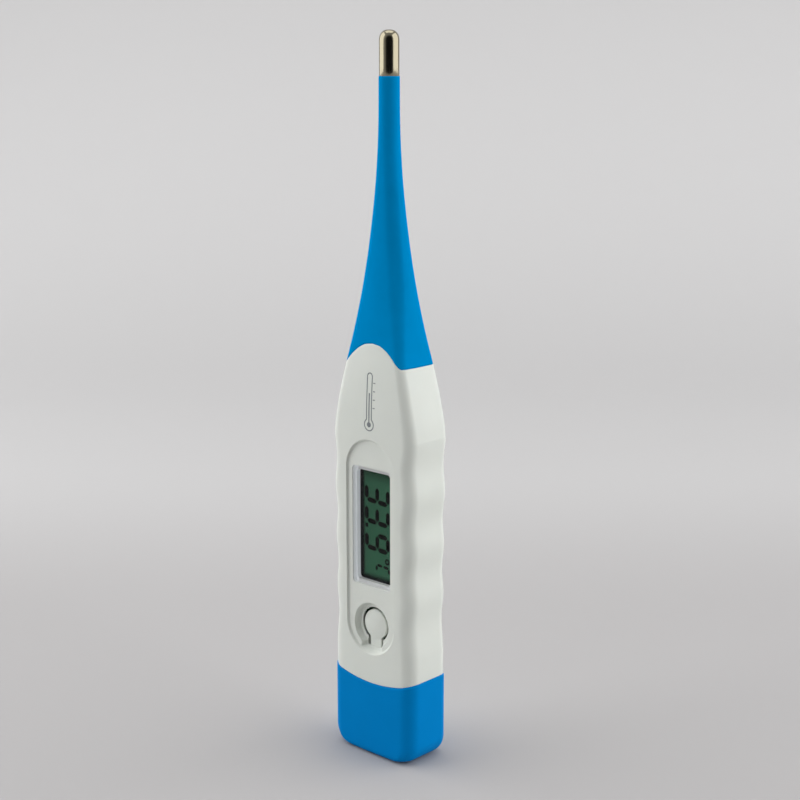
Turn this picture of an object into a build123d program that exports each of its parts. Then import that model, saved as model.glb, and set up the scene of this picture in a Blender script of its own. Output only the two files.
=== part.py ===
# Digital thermometer with a flexible probe neck, as an assembly of separate pieces.
# Frame: millimetres, origin at the centre of the flat end of the battery cap, +Z along the
# instrument towards the probe tip, -Y the display face, +X to the right of the display.
from build123d import *
import math
import os

os.makedirs("parts", exist_ok=True)

# ---------------------------------------------------------------- driving dimensions
LENGTH = 140.0            # overall, cap end to probe tip
TIP_R = 1.885             # metal probe tip radius
TIP_Z0 = 131.6            # end of the flexible neck, start of the metal tip
TIP_WALL = 0.20
NECK_R = 1.965            # neck radius beside the tip

CAP_A, CAP_B, CAP_R = 10.68, 5.90, 2.65    # battery cap: half width, half thickness, corner
CAP_WALL = 1.15
SEAM_LOW_MID, SEAM_LOW_K = 15.2, 0.0155    # cap seam: z = mid + k x^2
SEAM_UP_SIDE, SEAM_UP_TOP = 78.3, 82.5     # neck seam: level on the sides, arched on the faces

FACE_Y = -5.80            # front of the body on its centre line
PANEL_Y = -5.27           # floor of the long recessed panel
PANEL_R = 6.20            # panel half width and end radius at the body surface
PANEL_Z0, PANEL_Z1 = 27.4, 57.8            # centres of the panel's round ends
DISH_R, DISH_Y = 4.58, -4.15               # dish round the button
BUTTON_Z = 26.8
HOLE_R, BUTTON_R = 3.48, 3.00
WIN_W, WIN_Z0, WIN_Z1, WIN_R = 9.90, 34.9, 58.3, 0.9     # lens recess
LEDGE_Y = -4.35
LENS_T = 0.60             # lens thickness
OPEN_W, OPEN_Z0, OPEN_Z1, OPEN_R = 8.80, 35.50, 57.65, 0.8  # clear opening under the lens
INNER_Y0, INNER_Y1, INNER_A = -3.45, 3.75, 8.60           # electronics cavity

HINGE_Y, HINGE_Z = -3.72, 21.62            # root of the button's tongue
TONGUE_W, TONGUE_T = 3.0, 0.70

PCB_Y0, PCB_Y1 = 0.40, 1.20
FLEX_Z1, FLEX_Z2, FLEX_MAX = 100.0, 115.5, 22.5           # two flex points of the neck

CELL_R, CELL_T, CELL_Z = 3.95, 3.60, 8.0   # LR41 button cell
CELL_Y0 = -1.75


# ---------------------------------------------------------------- helpers
def out(name, shape):
    """Writes one sub-part."""
    solids = shape.solids()
    node = Compound(children=list(solids)) if len(solids) > 1 else solids[0]
    export_step(node, f"parts/{name}.step")


def smooth(table, z):
    """Monotone cubic through (z, value) rows."""
    xs = [p[0] for p in table]
    ys = [p[1] for p in table]
    if z <= xs[0]:
        return ys[0]
    if z >= xs[-1]:
        return ys[-1]
    n = len(xs)
    d = [(ys[i + 1] - ys[i]) / (xs[i + 1] - xs[i]) for i in range(n - 1)]
    m = [d[0]] + [0.0] * (n - 2) + [d[-1]]
    for i in range(1, n - 1):
        if d[i - 1] * d[i] > 0:
            m[i] = 2 * d[i - 1] * d[i] / (d[i - 1] + d[i])
    for i in range(n - 1):
        if xs[i] <= z <= xs[i + 1]:
            h = xs[i + 1] - xs[i]
            t = (z - xs[i]) / h
            return (
                (2 * t**3 - 3 * t**2 + 1) * ys[i]
                + (t**3 - 2 * t**2 + t) * h * m[i]
                + (-2 * t**3 + 3 * t**2) * ys[i + 1]
                + (t**3 - t**2) * h * m[i + 1]
            )


# Grip waves on the sides: crests and troughs of the half width, joined by half cosines.
WAVES = [(10.0, 10.55), (21.5, 10.55), (28.2, 10.08), (33.4, 10.50), (38.4, 10.10), (43.5, 10.54),
         (48.5, 10.12), (53.8, 10.62), (59.3, 10.16), (64.6, 10.62)]
SHOULDER = [(64.6, 10.62), (67.0, 10.33), (69.4, 9.84), (74.0, 8.80), (78.4, 7.68), (80.7, 7.24), (82.6, 6.93),
            (84.5, 6.63), (88.3, 6.06), (92.0, 5.48), (96.0, 4.87), (99.8, 4.28), (103.7, 3.72), (107.5, 3.21),
            (111.3, 2.78), (115.0, 2.44), (118.7, 2.18), (122.0, 2.05), (126.0, 1.985), (131.6, 1.967)]
THICK = [(10.0, 5.80), (58.0, 5.80), (64.6, 5.79), (69.4, 5.74), (74.0, 5.56), (78.4, 5.26), (80.7, 5.00), (82.6, 4.77),
         (84.5, 4.56), (88.3, 4.15), (92.0, 3.78), (96.0, 3.38), (99.8, 3.04), (103.7, 2.76), (107.5, 2.53),
         (111.3, 2.34), (115.0, 2.19), (118.7, 2.09), (122.0, 2.015), (126.0, 1.975), (131.6, 1.966)]
CORNER = [(10.0, 2.60), (30.0, 2.60), (50.0, 2.35), (64.6, 2.15), (74.0, 1.80), (78.4, 1.62), (82.6, 1.75), (88.3, 2.00),
          (92.0, 2.12), (104.0, 2.14), (111.3, 2.08), (118.7, 2.00), (122.0, 1.97), (131.6, 1.955)]


def half_width(z):
    if z >= WAVES[-1][0]:
        return smooth(SHOULDER, z)
    for (z0, a0), (z1, a1) in zip(WAVES, WAVES[1:]):
        if z0 <= z <= z1:
            t = (z - z0) / (z1 - z0)
            return a0 + (a1 - a0) * (1 - math.cos(math.pi * t)) / 2
    return WAVES[0][1]


def body_wire(z):
    """Rounded rectangle of the housing at height z."""
    a, b, r = half_width(z), smooth(THICK, z), smooth(CORNER, z)
    return Pos(0, 0, z) * RectangleRounded(2 * a, 2 * b, r)


def neck_wire(z, n=16):
    """Smooth closed outline of the neck at height z: a superellipse that ends as a circle."""
    a, b, r = half_width(z), smooth(THICK, z), smooth(CORNER, z)
    e = 2.0 + 1.9 * max(0.0, 1.0 - r / b) / 0.65
    pts = []
    for i in range(n):
        t = 2 * math.pi * (i + 0.5) / n
        c, q = math.cos(t), math.sin(t)
        pts.append(Vector(a * math.copysign(abs(c) ** (2 / e), c), b * math.copysign(abs(q) ** (2 / e), q), z))
    return Wire([Edge.make_spline(pts, periodic=True)])


def box(x0, x1, y0, y1, z0, z1):
    return Pos((x0 + x1) / 2, (y0 + y1) / 2, (z0 + z1) / 2) * Box(x1 - x0, y1 - y0, z1 - z0)


def front_prism(sketch, y0, y1, taper=0.0):
    """A sketch drawn with X right and Y up (as +Z) pushed from y0 towards +Y to y1."""
    plane = Plane(origin=(0, y0, 0), x_dir=(1, 0, 0), z_dir=(0, -1, 0))
    return extrude(plane * sketch, amount=-(y1 - y0), taper=taper)


def round_rect(w, z0, z1, r):
    return Pos(0, (z0 + z1) / 2) * RectangleRounded(w, z1 - z0, r)


def stadium(r, z0, z1):
    return (Pos(0, (z0 + z1) / 2) * Rectangle(2 * r, z1 - z0)) + Pos(0, z0) * Circle(r) + Pos(0, z1) * Circle(r)


def turn_y(profile):
    """Solid of revolution about the Y axis from (radius, y) points, at the origin."""
    face = make_face(Polyline([(p[0], p[1]) for p in profile], close=True))
    return revolve(face, Axis.Y, 360)


def turn_z(profile):
    """Solid of revolution about the Z axis from (radius, z) points."""
    face = make_face(Plane.XZ * Polyline([(p[0], p[1]) for p in profile], close=True))
    return revolve(face, Axis.Z, 360)


def cyl_z(r, z0, z1, x=0.0, y=0.0):
    return Pos(x, y, (z0 + z1) / 2) * Cylinder(r, z1 - z0)


def cyl_y(r, y0, y1, x=0.0, z=0.0):
    return Pos(x, (y0 + y1) / 2, z) * Rot(90, 0, 0) * Cylinder(r, y1 - y0)


def cyl_x(r, x0, x1, y=0.0, z=0.0):
    return Pos((x0 + x1) / 2, y, z) * Rot(0, 90, 0) * Cylinder(r, x1 - x0)


# ---------------------------------------------------------------- outer envelope of housing and neck
zs = [13.0, 15.5, 18.0, 20.5, 23.0, 25.6, 28.2, 30.8, 33.4, 35.9, 38.4, 40.95, 43.5, 46.0, 48.5, 51.15, 53.8, 56.5, 59.3, 61.95,
      64.6, 67.0, 69.4, 71.8, 74.2, 76.6, 79.0, 81.5, 84.0]
body_low = loft([body_wire(z) for z in zs])
zs_neck = [76.0, 80.7, 86.0, 92.0, 98.0, 104.0, 110.0, 116.0, 122.0, 131.6]
neck_env = Solid.make_loft([neck_wire(z) for z in zs_neck], ruled=False)

# Neck seam: arched on the front and back, level on the sides. White lies below it.
seam_pts = [(-7.25, SEAM_UP_SIDE), (-6.2, 79.05), (-4.9, 80.35), (-3.4, 81.48), (-1.7, 82.25), (0, SEAM_UP_TOP),
            (1.7, 82.25), (3.4, 81.48), (4.9, 80.35), (6.2, 79.05), (7.25, SEAM_UP_SIDE)]
seam_up = Spline([(x, z) for x, z in seam_pts])


def below_upper_seam(lift=0.0):
    edges = [seam_up, Line((7.25, SEAM_UP_SIDE), (14, SEAM_UP_SIDE)), Line((14, SEAM_UP_SIDE), (14, 0)), Line((14, 0), (-14, 0)),
             Line((-14, 0), (-14, SEAM_UP_SIDE)), Line((-14, SEAM_UP_SIDE), (-7.25, SEAM_UP_SIDE))]
    return Pos(0, 0, lift) * front_prism(make_face(edges), -12, 12)


def above_lower_seam(shift=0.0):
    """Everything above the cap seam: an arc low in the middle of the faces."""
    zc = SEAM_LOW_MID + shift
    ze = zc + SEAM_LOW_K * 14 * 14
    arc = ThreePointArc((-14, ze), (0, zc), (14, ze))
    edges = [arc, Line((14, ze), (14, 200)), Line((14, 200), (-14, 200)), Line((-14, 200), (-14, ze))]
    return front_prism(make_face(edges), -12, 12)


# ---------------------------------------------------------------- housing
housing = (body_low & below_upper_seam()) & above_lower_seam()
SPIG_A, SPIG_B = 9.38, 4.60                # spigot that the battery cap slides over
spigot = extrude(Pos(0, 0, 9.5) * RectangleRounded(2 * SPIG_A, 2 * SPIG_B, 1.9), amount=10.0)
spigot &= box(-20, 20, -20, 20, 0, 19.0)
# Nose inside the flexible neck.
nose = loft([Pos(0, 0, 76.0) * RectangleRounded(11.4, 6.6, 1.2), Pos(0, 0, 84.0) * RectangleRounded(8.0, 5.2, 1.2),
             Pos(0, 0, 90.0) * RectangleRounded(5.6, 4.2, 1.2)])
housing = housing + spigot + nose
cavity = extrude(Pos(0, (INNER_Y0 + INNER_Y1) / 2, 5) * RectangleRounded(2 * INNER_A, INNER_Y1 - INNER_Y0, 0.9), amount=59.0)
cavity_top = loft([Pos(0, (INNER_Y0 + INNER_Y1) / 2, 62.0) * RectangleRounded(2 * INNER_A - 0.5, INNER_Y1 - INNER_Y0 - 0.4, 0.9),
                   Pos(0, 0.1, 75.0) * RectangleRounded(9.0, 5.2, 0.9)])
housing = housing - cavity - cavity_top - cyl_z(1.5, 74.0, 92.0)
# Long recessed panel with sloping edges.
panel = front_prism(stadium(PANEL_R + 0.75, PANEL_Z0, PANEL_Z1), -6.8, PANEL_Y, taper=33.0)
housing = housing - panel
# Lens recess and the clear opening under it.
housing = housing - front_prism(round_rect(WIN_W + 0.16, WIN_Z0 - 0.08, WIN_Z1 + 0.08, WIN_R), -7.5, LEDGE_Y)
housing = housing - front_prism(round_rect(OPEN_W, OPEN_Z0, OPEN_Z1, OPEN_R), -7.5, INNER_Y0 + 0.5)
# Dish round the button. A pad at its foot covers the notch that holds the tongue's bead.
dish = Pos(0, 0, BUTTON_Z) * turn_y([(0, -7.2), (DISH_R + 0.55, -7.2), (DISH_R, PANEL_Y), (4.46, -4.78), (4.34, -4.42), (4.16, DISH_Y), (0, DISH_Y)])
dish = dish - box(-2.0, 2.0, -4.66, -3.0, 20.5, 22.15)
housing = housing - dish
# Keyhole through the wall.
keyhole = cyl_y(HOLE_R, -7, -2.5, 0, BUTTON_Z) + box(-2.0, 2.0, -7, -2.5, 22.15, 25.0) + box(-1.56, 1.56, -4.4, -2.5, 21.12, 22.6)
housing = housing - keyhole
# Groove for the cap's seal.
ring_out = Pos(0, 0, 13.0) * extrude(RectangleRounded(2 * SPIG_A + 4, 2 * SPIG_B + 4, 2.2), amount=0.9)
ring_in = Pos(0, 0, 12.9) * extrude(RectangleRounded(2 * SPIG_A - 0.9, 2 * SPIG_B - 0.9, 1.5), amount=1.2)
housing = housing - (ring_out - ring_in)
# Sound holes of the buzzer, in the back wall.
housing = housing - cyl_y(0.4, 3, 7, -1.1, 50) - cyl_y(0.4, 3, 7, 1.1, 50)
housing = max(housing.solids(), key=lambda s: s.volume)
out("housing", housing)

seal = (Pos(0, 0, 13.05) * extrude(RectangleRounded(2 * SPIG_A + 0.14, 2 * SPIG_B + 0.14, 1.95), amount=0.8)) - (
    Pos(0, 0, 12.5) * extrude(RectangleRounded(2 * SPIG_A - 0.84, 2 * SPIG_B - 0.84, 1.5), amount=2.0))
out("cap_seal_ring", seal)

# ---------------------------------------------------------------- battery cap
# Its closed end is rounded more in front view than in side view.
END_RA, END_RB = 4.0, 1.4
cap_rows = []
for i in range(8):
    t = math.pi / 2 * i / 7
    z = END_RA * (1 - math.cos(t))
    a = CAP_A - END_RA + END_RA * math.sin(t)
    zb = min(z / END_RB, 1.0)
    b = CAP_B - END_RB + END_RB * math.sqrt(1 - (1 - zb) ** 2)
    cap_rows.append((z, a, b))
cap_rows[0] = (0.0, CAP_A - END_RA + 0.6, CAP_B - END_RB + 0.35)
cap_end = loft([Pos(0, 0, z) * RectangleRounded(2 * a, 2 * b, min(CAP_R, b - 1.6)) for z, a, b in cap_rows])
cap = cap_end + extrude(Pos(0, 0, END_RA) * RectangleRounded(2 * CAP_A, 2 * CAP_B, CAP_R), amount=14)
cap = cap - above_lower_seam(-0.04)
cap_in = extrude(Pos(0, 0, 4.2) * RectangleRounded(2 * (SPIG_A + 0.10), 2 * (SPIG_B + 0.10), 2.0), amount=20)
cap_in2 = loft([Pos(0, 0, 1.5) * RectangleRounded(15.6, 7.4, 1.8), Pos(0, 0, 4.21) * RectangleRounded(2 * (SPIG_A + 0.10), 2 * (SPIG_B + 0.10), 2.0)])
cap = cap - cap_in - cap_in2
cap = max(cap.solids(), key=lambda s: s.volume)
out("battery_cap", cap)

# ---------------------------------------------------------------- lens
lens = front_prism(round_rect(WIN_W, WIN_Z0, WIN_Z1, WIN_R - 0.08), LEDGE_Y - LENS_T, LEDGE_Y - 0.01)
try:
    front_edges = lens.edges().filter_by(lambda e: abs(e.center().Y - (LEDGE_Y - LENS_T)) < 1e-4)
    lens = chamfer(front_edges, 0.18)
except Exception as err:
    print("lens chamfer skipped", err)
out("lens", lens)

# ---------------------------------------------------------------- button with its tongue
crown = 0.62
sr = (BUTTON_R**2 + crown**2) / (2 * crown)
dome = [(0, -4.05 - crown)]
for i in range(1, 11):
    x = (BUTTON_R - 0.18) * i / 10
    dome.append((x, -4.05 - crown + (sr - math.sqrt(sr * sr - x * x))))
dome += [(BUTTON_R - 0.05, -4.09), (BUTTON_R, -3.98), (BUTTON_R, -3.25), (0.75, -3.25), (0.55, -1.80), (0.25, -1.63), (0, -1.61)]
button = Pos(0, 0, BUTTON_Z) * turn_y(dome)
tongue = box(-TONGUE_W / 2, TONGUE_W / 2, -4.07, -4.07 + TONGUE_T, HINGE_Z, BUTTON_Z - 2.0)
bead = cyl_x(0.35, -TONGUE_W / 2, TONGUE_W / 2, HINGE_Y, HINGE_Z)
button = button + tongue + bead
out("button", button)

# ---------------------------------------------------------------- LCD stack
LCD_Z0, LCD_Z1 = 33.4, 59.4
LEAN, LEAN_X = 0.06, -1.5     # lean of the figures, and where it is nought
lcd = -3.42
out("lcd_front_polariser", box(-5.0, 5.0, lcd, lcd + 0.12, 34.0, 58.8))
out("lcd_front_glass", box(-5.3, 7.0, lcd + 0.12, lcd + 0.52, LCD_Z0, LCD_Z1))
out("lcd_rear_glass", box(-5.3, 5.2, lcd + 0.56, lcd + 0.96, LCD_Z0, LCD_Z1))
out("lcd_reflector", box(-5.1, 5.0, lcd + 0.96, lcd + 1.10, 34.0, 58.8))


def seg_poly(x0, z0, x1, z1, w):
    """A display segment: a bar with pointed ends from (x0, z0) to (x1, z1)."""
    dx, dz = x1 - x0, z1 - z0
    n = math.hypot(dx, dz)
    ux, uz = dx / n, dz / n
    px, pz = -uz, ux
    h = w / 2
    pts = [(x0, z0), (x0 + ux * h + px * h, z0 + uz * h + pz * h), (x1 - ux * h + px * h, z1 - uz * h + pz * h), (x1, z1),
           (x1 - ux * h - px * h, z1 - uz * h - pz * h), (x0 + ux * h - px * h, z0 + uz * h - pz * h)]
    return make_face(Polyline([(x, z - (x - LEAN_X) * LEAN) for x, z in pts], close=True))


def digit(z_left, height, width, x_base, on, w):
    """Seven segments of a digit read with the tip to the left: its foot at x_base, its left side at z_left."""
    g = 0.12
    xb, xm, xt = x_base, x_base + height / 2, x_base + height
    zl, zr = z_left, z_left - width
    seg = {
        "d": (xb, zl - g, xb, zr + g), "g": (xm, zl - g, xm, zr + g), "a": (xt, zl - g, xt, zr + g),
        "e": (xb + g, zl, xm - g, zl), "f": (xm + g, zl, xt - g, zl),
        "c": (xb + g, zr, xm - g, zr), "b": (xm + g, zr, xt - g, zr),
    }
    return [seg_poly(*seg[k], w) for k in on]


DIG_X, DIG_H, SEG_W = -2.70, 5.60, 0.98
faces = []
faces += digit(54.50, DIG_H, 2.90, DIG_X, "abcdg", SEG_W)
faces += digit(50.30, DIG_H, 2.90, DIG_X, "abcdg", SEG_W)
faces += digit(44.90, DIG_H, 2.85, DIG_X, "abcdfg", SEG_W)
faces.append(Pos(DIG_X, 46.42) * Rectangle(0.72, 0.78))
faces += digit(38.95, 3.3, 1.30, DIG_X + 2.6, "adef", 0.54)
faces.append((Pos(2.72, 39.95) * Circle(0.62)) - (Pos(2.72, 39.95) * Circle(0.25)))
segs = [front_prism(f, lcd + 0.52, lcd + 0.56) for f in faces]
out("lcd_segments", Compound(children=[s for g in segs for s in g.solids()]))
out("zebra_connector", box(5.5, 6.8, lcd + 0.52, PCB_Y0, 35.2, 57.6))

# ---------------------------------------------------------------- circuit board and what is on it
pcb_pts = [(-7.6, 16.5), (7.6, 16.5), (7.6, 62.0), (4.2, 71.0), (-4.2, 71.0), (-7.6, 62.0)]
pcb = front_prism(make_face(Polyline(pcb_pts, close=True)), PCB_Y0, PCB_Y1)
pcb = pcb - cyl_y(0.45, 0, 2, -1.6, 69.6) - cyl_y(0.45, 0, 2, 1.6, 69.6)
out("circuit_board", pcb)
blob = Pos(0, PCB_Y0, 64.6) * Rot(90, 0, 0) * (scale(Sphere(1.0), by=(3.0, 2.6, 1.15)) & Pos(0, 0, 2) * Box(10, 10, 4))
out("chip_epoxy_blob", blob)
smd = [box(x - w / 2, x + w / 2, PCB_Y0 - 0.5, PCB_Y0, z - h / 2, z + h / 2) for x, z, w, h in
       ((-5.0, 62.4, 1.6, 0.8), (4.9, 62.4, 0.8, 1.6), (-5.2, 20.0, 1.6, 0.8), (-5.2, 22.2, 1.6, 0.8), (5.2, 20.4, 0.8, 1.6), (5.2, 29.6, 1.6, 0.8), (-5.2, 30.2, 0.8, 1.6))]
out("smd_components", Compound(children=[s for c in smd for s in c.solids()]))
sw_body = box(-2.6, 2.6, -0.85, PCB_Y0, BUTTON_Z - 2.6, BUTTON_Z + 2.6)
sw_body = chamfer(sw_body.edges().filter_by(Axis.Y), 0.4)
sw_body = sw_body - cyl_y(1.05, -2, 0.18, 0, BUTTON_Z)
out("switch_body", sw_body)
out("switch_plunger", cyl_y(1.0, -1.55, -0.40, 0, BUTTON_Z))

# ---------------------------------------------------------------- buzzer on the back wall
out("buzzer_disc", cyl_y(5.4, INNER_Y1 - 0.24, INNER_Y1 - 0.02, 0, 50))
out("buzzer_element", cyl_y(3.9, INNER_Y1 - 0.46, INNER_Y1 - 0.24, 0, 50))
out("buzzer_leads", Compound(children=[*cyl_y(0.16, PCB_Y1, INNER_Y1 - 0.46, 0.0, 50).solids(), *cyl_y(0.16, PCB_Y1, INNER_Y1 - 0.24, 0.0, 54.6).solids()]))

# ---------------------------------------------------------------- carrier frame, cell and contacts
carrier = box(-8.35, 8.35, -1.5, 3.3, 2.4, 14.6)
carrier = carrier + box(7.1, 8.35, -1.4, 2.9, 14.0, 61.5) + box(-8.35, -7.1, -1.4, 2.9, 14.0, 61.5)
carrier = carrier + box(-8.0, 8.0, lcd + 1.2, PCB_Y0 - 0.05, 33.4, 34.8) + box(-8.0, 8.0, lcd + 1.2, PCB_Y0 - 0.05, 58.2, 59.6)
carrier = carrier + box(-8.0, 8.0, PCB_Y1 + 0.05, 2.6, 60.0, 61.5)
carrier = carrier - box(-7.7, 7.7, PCB_Y0 - 0.05, PCB_Y1 + 0.05, 16.4, 63.0)
carrier = carrier - cyl_y(CELL_R + 0.12, -3, CELL_Y0 + CELL_T + 0.22, 0, CELL_Z)
carrier = carrier - box(-1.8, 1.8, CELL_Y0 + CELL_T - 0.02, CELL_Y0 + CELL_T + 0.22, CELL_Z, 15.0)
carrier = carrier - cyl_y(2.2, -3, 5, 0, CELL_Z) - box(-9, -6.9, -3, 5, 0, 4.6) - box(6.9, 9, -3, 5, 0, 4.6)
carrier = carrier - box(-6.6, -5.0, -3, 2.0, 6.0, 14.0) - box(5.0, 6.6, -3, 2.0, 6.0, 14.0)
out("carrier_frame", max(carrier.solids(), key=lambda s: s.volume))

cell = cyl_y(CELL_R, CELL_Y0 + 0.9, CELL_Y0 + CELL_T, 0, CELL_Z)
cell = fillet(cell.edges().filter_by(lambda e: abs(e.center().Y - (CELL_Y0 + CELL_T)) < 1e-3), 0.3)
cell = cell + cyl_y(CELL_R - 0.45, CELL_Y0 + 0.30, CELL_Y0 + 0.95, 0, CELL_Z) + cyl_y(CELL_R - 0.95, CELL_Y0, CELL_Y0 + 0.4, 0, CELL_Z)
out("button_cell", cell)


def strip(points, half_w, t, x=0.0):
    """A thin contact strip: its centre line as (y, z) points, t thick, 2 half_w wide along X."""
    n = len(points)
    left, right = [], []
    for i, (y, z) in enumerate(points):
        a = points[max(i - 1, 0)]
        b = points[min(i + 1, n - 1)]
        if 0 < i < n - 1:
            d1 = (y - a[0], z - a[1])
            d2 = (b[0] - y, b[1] - z)
            n1 = math.hypot(*d1)
            n2 = math.hypot(*d2)
            d = (d1[0] / n1 + d2[0] / n2, d1[1] / n1 + d2[1] / n2)
            m = math.hypot(*d)
            cosh = (d[0] * d1[0] / n1 + d[1] * d1[1] / n1) / m
            k = t / 2 / cosh
        else:
            d = (b[0] - a[0], b[1] - a[1])
            m = math.hypot(*d)
            k = t / 2
        nx, nz = -d[1] / m, d[0] / m
        left.append((y + nx * k, z + nz * k))
        right.append((y - nx * k, z - nz * k))
    face = make_face(Plane.YZ * Polyline(left + right[::-1], close=True))
    return Pos(x, 0, 0) * extrude(face, amount=half_w, both=True)


out("contact_negative", strip([(-1.95, 6.2), (-1.86, 7.2), (-1.86, 15.0), (0.29, 17.4), (0.29, 19.6)], 1.4, 0.18))
out("contact_positive", strip([(1.95, 5.2), (1.95, 15.2), (1.31, 17.0), (1.31, 19.6)], 1.4, 0.16))

# ---------------------------------------------------------------- flexible neck, in three lengths that turn about X
neck = neck_env - below_upper_seam(0.02) - nose
neck = max(neck.solids(), key=lambda s: s.volume) - cyl_z(0.75, 76.0, 140.0)
nipple = cyl_z(TIP_R - TIP_WALL - 0.01, TIP_Z0 - 0.5, TIP_Z0 + 3.2) - cyl_z(0.75, 120.0, 140.0)
rho1, rho2 = smooth(THICK, FLEX_Z1) - 0.02, smooth(THICK, FLEX_Z2) - 0.02


def above_wedge(h, rho, gap):
    """Region a lower length gives up at a flex point: the drum and all that is above it."""
    k = math.tan(math.radians(FLEX_MAX + 1.0))
    pts = [(0, h), (20, h - 20 * k), (20, 200), (-20, 200), (-20, h - 20 * k)]
    wedge = make_face(Plane.YZ * Polyline(pts, close=True))
    return extrude(wedge, amount=20, both=True) + cyl_x(rho + gap, -20, 20, 0, h)


def below_drum(h, rho):
    """Region an upper length gives up at a flex point: everything under its half drum."""
    return box(-20, 20, -20, 20, 0, h) - cyl_x(rho, -20, 20, 0, h)


neck_base = neck - above_wedge(FLEX_Z1, rho1, 0.03)
neck_mid = (neck - below_drum(FLEX_Z1, rho1)) - above_wedge(FLEX_Z2, rho2, 0.03)
neck_top = (neck - below_drum(FLEX_Z2, rho2)) + nipple
for name, shape in (("neck_base", neck_base), ("neck_middle", neck_mid), ("neck_end", neck_top)):
    out(name, max(shape.solids(), key=lambda s: s.volume))

# ---------------------------------------------------------------- metal tip, sensor and leads
def round_rod(r, z0, z1, round_r):
    rod = cyl_z(r, z0, z1)
    return fillet(rod.edges().filter_by(lambda e: abs(e.center().Z - z1) < 1e-4 and e.length > 1), round_r)


tip = round_rod(TIP_R, TIP_Z0 + 0.02, LENGTH, 1.45) - round_rod(TIP_R - TIP_WALL, TIP_Z0 - 2, LENGTH - TIP_WALL, 1.28)
out("probe_tip_cap", tip)
bead_solid = round_rod(0.62, 136.4, 138.4, 0.4)
potting = round_rod(TIP_R - TIP_WALL - 0.01, TIP_Z0 + 3.25, LENGTH - TIP_WALL - 0.01, 1.27) - bead_solid
lead_r = 0.11
wires, clear = [], []
for s in (-1, 1):
    run = cyl_z(lead_r, 81.0, 136.4, s * 0.28, 0)
    path = FilletPolyline([(s * 0.28, 0, 81.0), (s * 0.28, 0, 79.5), (s * 1.6, 0.27, 73.0), (s * 1.6, 0.27, 69.2)], radius=2.0)
    prof = Plane(origin=(s * 0.28, 0, 81.0), z_dir=(0, 0, -1)) * Circle(lead_r)
    bend = sweep(prof, path=path)
    wires.append(run + bend)
    clear.append(cyl_z(lead_r + 0.01, 134.0, 136.4, s * 0.28, 0))
potting = potting - clear[0] - clear[1]
out("tip_potting", max(potting.solids(), key=lambda s: s.volume))
out("thermistor_bead", max(bead_solid.solids(), key=lambda s: s.volume))
out("thermistor_leads", Compound(children=[max(w.solids(), key=lambda s: s.volume) for w in wires]))

print("written", len(os.listdir("parts")), "parts")
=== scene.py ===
import bpy, bmesh, math
import numpy as np
from mathutils import Vector, Matrix


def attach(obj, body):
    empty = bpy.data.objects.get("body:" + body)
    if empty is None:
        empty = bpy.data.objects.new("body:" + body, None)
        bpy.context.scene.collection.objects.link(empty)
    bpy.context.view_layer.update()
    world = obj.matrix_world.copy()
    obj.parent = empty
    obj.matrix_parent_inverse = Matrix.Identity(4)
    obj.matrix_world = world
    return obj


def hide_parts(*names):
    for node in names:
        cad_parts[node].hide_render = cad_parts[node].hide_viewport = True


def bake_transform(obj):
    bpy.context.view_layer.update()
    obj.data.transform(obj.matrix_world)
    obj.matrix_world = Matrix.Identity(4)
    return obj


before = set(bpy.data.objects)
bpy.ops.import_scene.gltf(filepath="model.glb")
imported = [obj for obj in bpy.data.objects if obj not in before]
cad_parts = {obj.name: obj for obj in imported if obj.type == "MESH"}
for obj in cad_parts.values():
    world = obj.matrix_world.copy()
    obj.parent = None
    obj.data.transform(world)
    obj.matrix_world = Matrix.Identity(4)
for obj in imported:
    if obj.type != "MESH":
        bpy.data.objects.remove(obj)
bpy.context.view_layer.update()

MM = 0.001

# ------------------------------------------------------------------ shape of the shells, in mm
WAVES = [(10.0, 10.55), (21.5, 10.55), (28.2, 10.08), (33.4, 10.50), (38.4, 10.10), (43.5, 10.54),
         (48.5, 10.12), (53.8, 10.62), (59.3, 10.16), (64.6, 10.62)]
SHOULDER = [(64.6, 10.62), (67.0, 10.33), (69.4, 9.84), (74.0, 8.80), (78.4, 7.68), (80.7, 7.24), (82.6, 6.93),
            (84.5, 6.63), (88.3, 6.06), (92.0, 5.48), (96.0, 4.87), (99.8, 4.28), (103.7, 3.72), (107.5, 3.21),
            (111.3, 2.78), (115.0, 2.44), (118.7, 2.18), (122.0, 2.05), (126.0, 1.985), (131.6, 1.967)]
THICK = [(10.0, 5.80), (58.0, 5.80), (64.6, 5.79), (69.4, 5.74), (74.0, 5.56), (78.4, 5.26), (80.7, 5.00), (82.6, 4.77),
         (84.5, 4.56), (88.3, 4.15), (92.0, 3.78), (96.0, 3.38), (99.8, 3.04), (103.7, 2.76), (107.5, 2.53),
         (111.3, 2.34), (115.0, 2.19), (118.7, 2.09), (122.0, 2.015), (126.0, 1.975), (131.6, 1.966)]
CORNER = [(10.0, 2.60), (30.0, 2.60), (50.0, 2.35), (64.6, 2.15), (74.0, 1.80), (78.4, 1.62), (82.6, 1.75), (88.3, 2.00),
          (92.0, 2.12), (104.0, 2.14), (111.3, 2.08), (118.7, 2.00), (122.0, 1.97), (131.6, 1.955)]
CROWN_F = [(10.0, 0.040), (66.0, 0.042), (78.4, 0.06), (88.3, 0.12), (96.0, 0.15), (110.0, 0.08), (122.0, 0.0), (131.6, 0.0)]
CROWN_S = [(10.0, 0.010), (66.0, 0.012), (78.4, 0.03), (88.3, 0.09), (96.0, 0.12), (110.0, 0.07), (122.0, 0.0), (131.6, 0.0)]


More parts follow.
